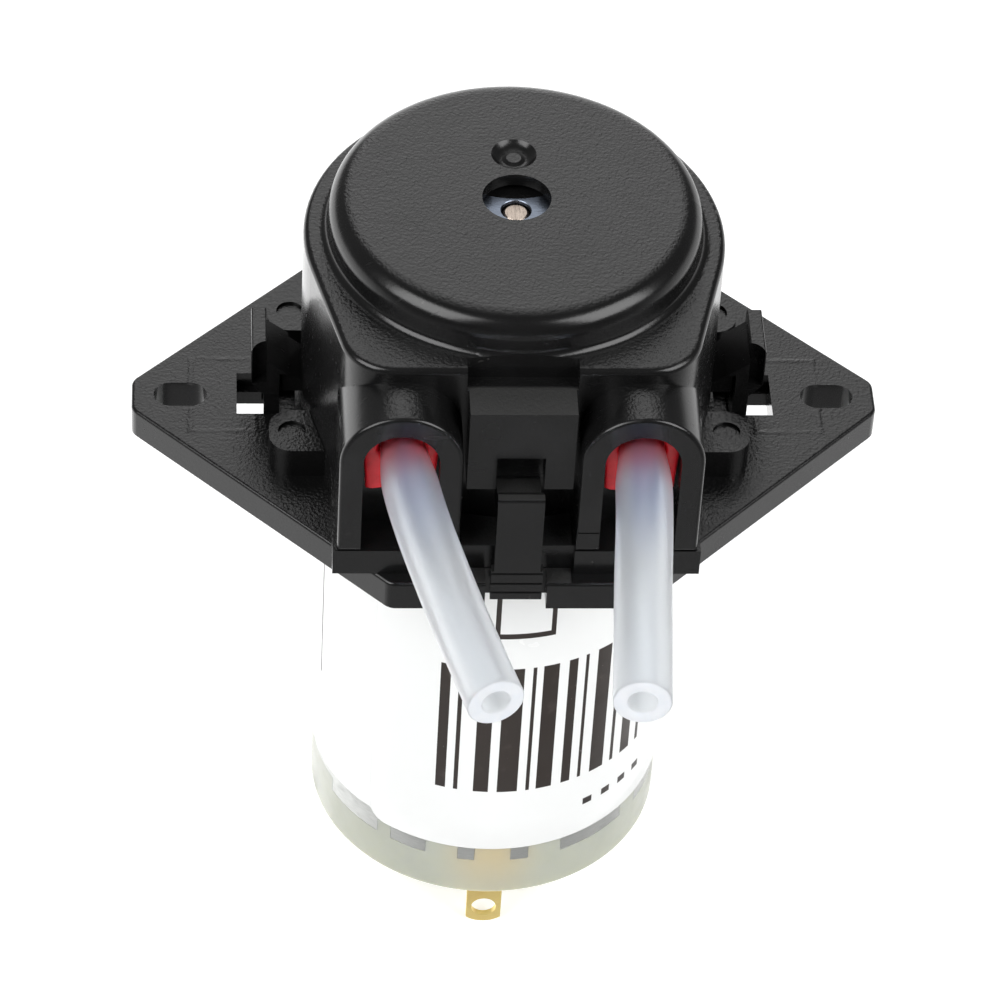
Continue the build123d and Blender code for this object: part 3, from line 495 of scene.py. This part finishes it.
def black_plastic():
    """Moulded black plastic: leathery grain on the faces that look up, a smoother skin on the walls."""
    look = Shading("black_plastic", (0.0065, 0.0065, 0.0066), 0.21)
    facing = look.axis(look.node("ShaderNodeNewGeometry").outputs["Normal"], "Z")
    flat = look.ramp(facing, 0.86, 0.985)
    look.tint(look.ramp(look.noise(110.0, 4.0), 0.5, 0.8, 0.0, 0.5), (0.016, 0.016, 0.017))
    specks = look.ramp(look.noise(1500.0, 1.0), 0.75, 0.80)
    dusty = look.ramp(look.noise(90.0), 0.5, 0.7, 0.0, 0.5)
    look.tint(look.math("MULTIPLY", specks, dusty), (0.10, 0.097, 0.093))
    look.polish(flat, 0.22)
    look.polish(look.ramp(look.noise(240.0, 4.0), 0.5, 0.75, 0.0, 0.5), 0.36)
    look.polish(look.ramp(look.noise(240.0, 1.0, (1.0, 14.0, 6.0)), 0.70, 0.74, 0.0, 0.25), 0.5)
    across, along, height = (look.axis(look.place, name) for name in "XYZ")
    # The low step between the two ports gets a painted sheen: its flat top is coloured lighter in place of
    # the dim reflection it shows, and it is made rougher.
    painted_step_sheen = look.ramp(look.math("ABSOLUTE", across), 0.0039, 0.0041, 1.0, 0.0)
    painted_step_sheen = look.math("MULTIPLY", painted_step_sheen, look.ramp(along, -0.0150, -0.0146, 1.0, 0.0))
    painted_step_sheen = look.math("MULTIPLY", painted_step_sheen, look.ramp(facing, 0.9, 0.98))
    # Painted sheen: a lighter colour laid on the step's upward face.
    look.tint(painted_step_sheen, (0.026, 0.026, 0.0255))
    look.polish(painted_step_sheen, 0.6)
    # Faint seams of the mould frame each window of the plate.
    beside = look.math("ABSOLUTE", look.math("SUBTRACT", look.math("ABSOLUTE", across), seam_middle_x))
    beside = look.math("SUBTRACT", beside, seam_half_x)
    ahead = look.math("SUBTRACT", look.math("ABSOLUTE", along), seam_half_y)
    frame_line = look.math("MAXIMUM", beside, ahead)
    seam = look.ramp(look.math("ABSOLUTE", frame_line), 0.0, 0.00036, 1.0, 0.0)
    off_plate = look.math("ABSOLUTE", look.math("SUBTRACT", height, plate_top))
    on_plate = look.ramp(off_plate, 0.0, 0.0003, 1.0, 0.0)
    seam = look.math("MULTIPLY", seam, on_plate)
    seam = look.math("MULTIPLY", seam, look.ramp(look.noise(350.0), 0.3, 0.6))
    look.bump(seam, 0.00004, 1.0)
    grain = look.math("ADD", look.noise(4000.0, 2.0), look.math("MULTIPLY", look.noise(1500.0, 1.0), 0.25))
    strength = look.ramp(facing, 0.90, 0.995, 0.06, 0.8)
    look.bump(grain, 0.000075, strength)
    return look.material


def red_rubber():
    look = Shading("red_collar", (0.70, 0.012, 0.024), 0.32)
    look.feed(look.shader, Subsurface_Weight=0.15, Subsurface_Radius=(0.0012, 0.0003, 0.0002))
    look.tint(look.ramp(look.noise(600.0, 3.0), 0.35, 0.75, 0.0, 0.6), (0.40, 0.006, 0.012))
    look.polish(look.ramp(look.noise(900.0, 3.0), 0.4, 0.7), 0.45)
    look.bump(look.noise(2200.0, 3.0), 0.00003, 0.8)
    return look.material


def silicone():
    """Milky tube: cloudy streaks run along it; a painted bluish shade lies over the bore, and a painted red
    glow from the collars lies on the ends that they hold.
    """
    look = Shading("silicone_tube", (0.95, 0.975, 1.0), 0.3, IOR=1.41, Transmission_Weight=0.78)
    along = look.axis(look.place, "Y")
    side = look.math("ABSOLUTE", look.axis(look.node("ShaderNodeNewGeometry").outputs["Normal"], "X"))
    # Painted shade: darker blue where the wall faces up over the bore, lighter where it turns sideways,
    # fading out away from the pump.
    painted_bore_shade = look.math("MULTIPLY", look.ramp(side, 0.25, 0.8, 1.0, 0.35), look.ramp(along, -0.031, -0.019))
    look.tint(painted_bore_shade, (0.46, 0.57, 0.82))
    cloud = look.ramp(look.noise(420.0, 2.0, (1.0, 0.12, 1.0)), 0.35, 0.7)
    look.tint(look.math("MULTIPLY", cloud, 0.35), (0.93, 0.955, 0.985))
    # Painted glow: red light from the collars laid into the tube's colour beside them, patchy with the cloud.
    painted_collar_glow = look.ramp(along, -0.0225, -0.0168, 0.0, 1.0)
    look.tint(look.math("MULTIPLY", painted_collar_glow, look.ramp(cloud, 0.0, 1.0, 0.75, 1.0)), (0.82, 0.12, 0.17))
    look.polish(cloud, 0.42)
    look.bump(look.noise(160.0, 2.0, (1.0, 0.3, 1.0)), 0.00004, 0.3)
    return look.material


def cut_silicone():
    """The sawn face of a tube end: paler and rougher than its drawn skin."""
    look = Shading("silicone_cut", (0.93, 0.95, 0.985), 0.5, IOR=1.41, Transmission_Weight=0.35)
    look.tint(look.ramp(look.noise(900.0, 3.0), 0.4, 0.7, 0.0, 0.6), (0.86, 0.90, 0.96))
    look.polish(look.ramp(look.noise(1500.0, 3.0), 0.4, 0.7), 0.65)
    look.bump(look.noise(2500.0, 3.0, (1.0, 1.0, 0.2)), 0.00003, 0.5)
    return look.material


def label_film():
    look = Shading("label_film", (0.84, 0.85, 0.845), 0.22)
    look.tint(look.ramp(look.noise(70.0, 3.0), 0.45, 0.8, 0.0, 0.5), (0.84, 0.855, 0.85))
    look.polish(look.ramp(look.noise(160.0, 4.0), 0.4, 0.8), 0.28)
    look.bump(look.noise(60.0, 2.0), 0.00008, 0.3)
    return look.material


def label_ink():
    look = Shading("label_ink", (0.032, 0.024, 0.020), 0.3)
    look.tint(look.ramp(look.noise(700.0, 5.0), 0.55, 0.8, 0.0, 0.45), (0.085, 0.068, 0.058))
    look.tint(look.ramp(look.noise(2300.0, 2.0), 0.74, 0.78, 0.0, 0.5), (0.35, 0.33, 0.31))
    look.polish(look.ramp(look.noise(400.0, 3.0), 0.4, 0.7), 0.42)
    look.bump(look.noise(1400.0, 3.0), 0.00001, 0.5)
    return look.material


def brushed(name, color, roughness, stretch, tarnish, grain=0.000006, metallic=1.0):
    """Metal with fine marks from rolling or grinding and a faint uneven tarnish."""
    look = Shading(name, color, roughness, Metallic=metallic)
    look.tint(look.ramp(look.noise(260.0, 5.0), 0.45, 0.8, 0.0, 0.5), tarnish)
    marks = look.noise(1500.0, 3.0, stretch)
    look.polish(look.ramp(marks, 0.35, 0.7), roughness * 1.8)
    look.bump(marks, grain, 0.7)
    return look.material


def endbell_nylon():
    """Greenish white nylon, with a painted warm glow just above the front terminal for the brass seen through
    it.
    """
    look = Shading("endbell_nylon", (0.465, 0.48, 0.405), 0.3)
    look.feed(look.shader, Subsurface_Weight=0.55, Subsurface_Radius=(0.0016, 0.0015, 0.0010))
    look.feed(look.shader, Subsurface_Scale=1.0)
    look.tint(look.ramp(look.noise(220.0, 4.0), 0.4, 0.75, 0.0, 0.7), (0.405, 0.425, 0.375))
    # Painted glow: a brass-coloured tint, strongest at the middle and higher up, stands in for the terminal
    # seen through the nylon.
    aside = look.math("ABSOLUTE", look.axis(look.place, "X"))
    painted_brass_glow = look.ramp(aside, 0.0005, 0.0048, 1.0, 0.0)
    rise = look.ramp(look.axis(look.place, "Z"), -0.0395, -0.0335, 0.25, 1.0)
    look.tint(look.math("MULTIPLY", look.math("MULTIPLY", painted_brass_glow, rise), 0.75), (0.58, 0.47, 0.265))
    look.polish(look.ramp(look.noise(500.0, 3.0), 0.4, 0.7), 0.45)
    look.bump(look.noise(1600.0, 3.0), 0.00002, 0.6)
    return look.material


plastic = black_plastic()
film = label_film()
ink = label_ink()
tube_silicone = silicone()
tube_cut = cut_silicone()
red = red_rubber()
# Colour, roughness, direction of the marks, tarnish and depth of the marks.
steel = brushed("ground_steel", (0.46, 0.39, 0.335), 0.22, (7.0, 1.0, 1.0), (0.28, 0.21, 0.165), 0.00003)
can_steel = brushed("can_steel", (0.76, 0.77, 0.75), 0.42, (1.0, 1.0, 9.0), (0.50, 0.51, 0.50), 0.00003)
hub_steel = brushed("polished_steel", (0.21, 0.24, 0.295), 0.26, (1.0, 24.0, 1.0), (0.17, 0.195, 0.25), 2e-6)
brass = brushed("terminal_brass", (0.95, 0.75, 0.29), 0.34, (1, 1, 18), (0.80, 0.54, 0.17), metallic=0.65)
bronze = brushed("sintered_bronze", (0.52, 0.34, 0.17), 0.42, (1.0, 1.0, 1.0), (0.3, 0.18, 0.09), 0.00002)
lamination = brushed("lamination_steel", (0.34, 0.35, 0.38), 0.4, (1.0, 1.0, 40.0), (0.2, 0.2, 0.22))
copper_wire = brushed("copper_wire", (0.60, 0.24, 0.08), 0.3, (1.0, 1.0, 12.0), (0.4, 0.13, 0.05), 0.00006)
copper = brushed("commutator_copper", (0.72, 0.36, 0.20), 0.25, (1.0, 1.0, 30.0), (0.4, 0.22, 0.14))
acetal = moulded("white_acetal", (0.68, 0.74, 0.84), 0.28, 0.00001, (0.6, 0.66, 0.76))
ferrite = moulded("ferrite", (0.035, 0.035, 0.04), 0.55, 0.00003, (0.06, 0.06, 0.065))
carbon = moulded("carbon", (0.02, 0.02, 0.021), 0.45, 0.00003, (0.04, 0.04, 0.04))
fibre = moulded("washer_fibre", (0.20, 0.12, 0.06), 0.6, 0.00004, (0.13, 0.07, 0.03))
nylon = endbell_nylon()

by_slot = {
    "black_plastic": plastic, "red_collar": red, "silicone_tube": tube_silicone, "white_plastic": acetal,
    "steel": steel, "can_steel": can_steel, "label_paper": film, "endbell_nylon": nylon, "bronze": bronze,
    "ferrite": ferrite, "terminal_brass": brass, "carbon": carbon, "lamination_steel": lamination,
    "polished_steel": hub_steel, "copper_wire": copper_wire, "commutator_copper": copper,
    "washer_fibre": fibre,
}
slot_of = {row["node"]: row["material_slot"] for row in frame["record"]["subparts"]}
for name, node in nodes.items():
    node.data.materials.clear()
    node.data.materials.append(by_slot[slot_of[name]])
for piece in tube_ends:
    piece.data.materials.append(tube_silicone)
    piece.data.materials.append(tube_cut)
for piece in collars:
    piece.data.materials.append(red)
label_sheet.data.materials.append(film)
label_sheet.data.materials.append(ink)


# ---------------------------------------------------------------- floor and light

floor_reach = 3.0
floor_z = cad_box[0].z
floor_mesh = bpy.data.meshes.new("floor")
floor_sides = [(-1, -1), (1, -1), (1, 1), (-1, 1)]
floor_corners = [(x * floor_reach, y * floor_reach, floor_z) for x, y in floor_sides]
floor_mesh.from_pydata(floor_corners, [], [(0, 1, 2, 3)])
floor = bpy.data.objects.new("floor", floor_mesh)
floor_look = Shading("floor", (0.97, 0.97, 0.97), 0.8, Emission_Color=(1, 1, 1, 1), Emission_Strength=0.32)
floor_look.polish(floor_look.noise(5.0), 0.9)
floor_mesh.materials.append(floor_look.material)
bpy.context.scene.collection.objects.link(floor)
floor.visible_glossy = False


def softbox(name, place, size, power):
    """A rectangular lamp at place that faces the pump."""
    light = bpy.data.lights.new(name, "AREA")
    light.shape = "RECTANGLE"
    light.size, light.size_y = size
    light.energy = power
    lamp = bpy.data.objects.new(name, light)
    lamp.location = place
    lamp.rotation_mode = "QUATERNION"
    lamp.rotation_quaternion = Vector(place).to_track_quat("Z", "Y")
    bpy.context.scene.collection.objects.link(lamp)


softbox_size = (0.7, 0.7)
softbox_power = 7.6
softbox("left_box", (-0.64, -0.42, 0.62), softbox_size, softbox_power)
softbox("right_box", (0.68, -0.40, 0.60), softbox_size, softbox_power)

# Directions below are parts of a unit vector from the pump: right is X, away from the viewer Y, up Z.
wall_fade = (-0.5, 0.45)
wall_strengths = (0.08, 1.6)
wall_lean = 0.35
wall_middle_x = 0.06
wall_edge = (0.16, 0.42)
side_dimming = 0.88
horizon_fade = (-0.1, 0.15)
pale_floor_strength = 0.5
right_fade = (0.05, 0.4)
right_strength = 0.6


def studio_world():
    """A bright wall straight behind the pump and a pale floor, in a dark room; the right side is dimmer."""
    world = bpy.data.worlds.new("studio")
    world.use_nodes = True
    tree = world.node_tree
    place = tree.nodes.new("ShaderNodeTexCoord")
    split = tree.nodes.new("ShaderNodeSeparateXYZ")
    tree.links.new(place.outputs["Generated"], split.inputs["Vector"])

    across, away, upright = (split.outputs[name] for name in "XYZ")

    def step(operation, first, second=0.0):
        return math_node(tree, operation, first, second)

    above = step("MAXIMUM", upright)
    below = step("MAXIMUM", step("MULTIPLY", upright, -1.0))
    depth = step("SUBTRACT", away, step("MULTIPLY", above, wall_lean))
    wall = ease_node(tree, depth, *wall_fade, *wall_strengths)
    strength = step("ADD", wall, step("MULTIPLY", below, pale_floor_strength))
    off_axis = step("ABSOLUTE", step("SUBTRACT", across, wall_middle_x))
    beside = ease_node(tree, off_axis, *wall_edge, 0.0, side_dimming)
    upward = ease_node(tree, upright, *horizon_fade, 0.0, 1.0)
    strength = step("MULTIPLY", strength, step("SUBTRACT", 1.0, step("MULTIPLY", beside, upward)))
    strength = step("MULTIPLY", strength, ease_node(tree, across, *right_fade, 1.0, right_strength))
    background = tree.nodes["Background"]
    background.inputs["Color"].default_value = (1, 1, 1, 1)
    tree.links.new(strength, background.inputs["Strength"])
    return world


bpy.context.scene.world = studio_world()
bpy.context.scene.view_settings.view_transform = "Standard"
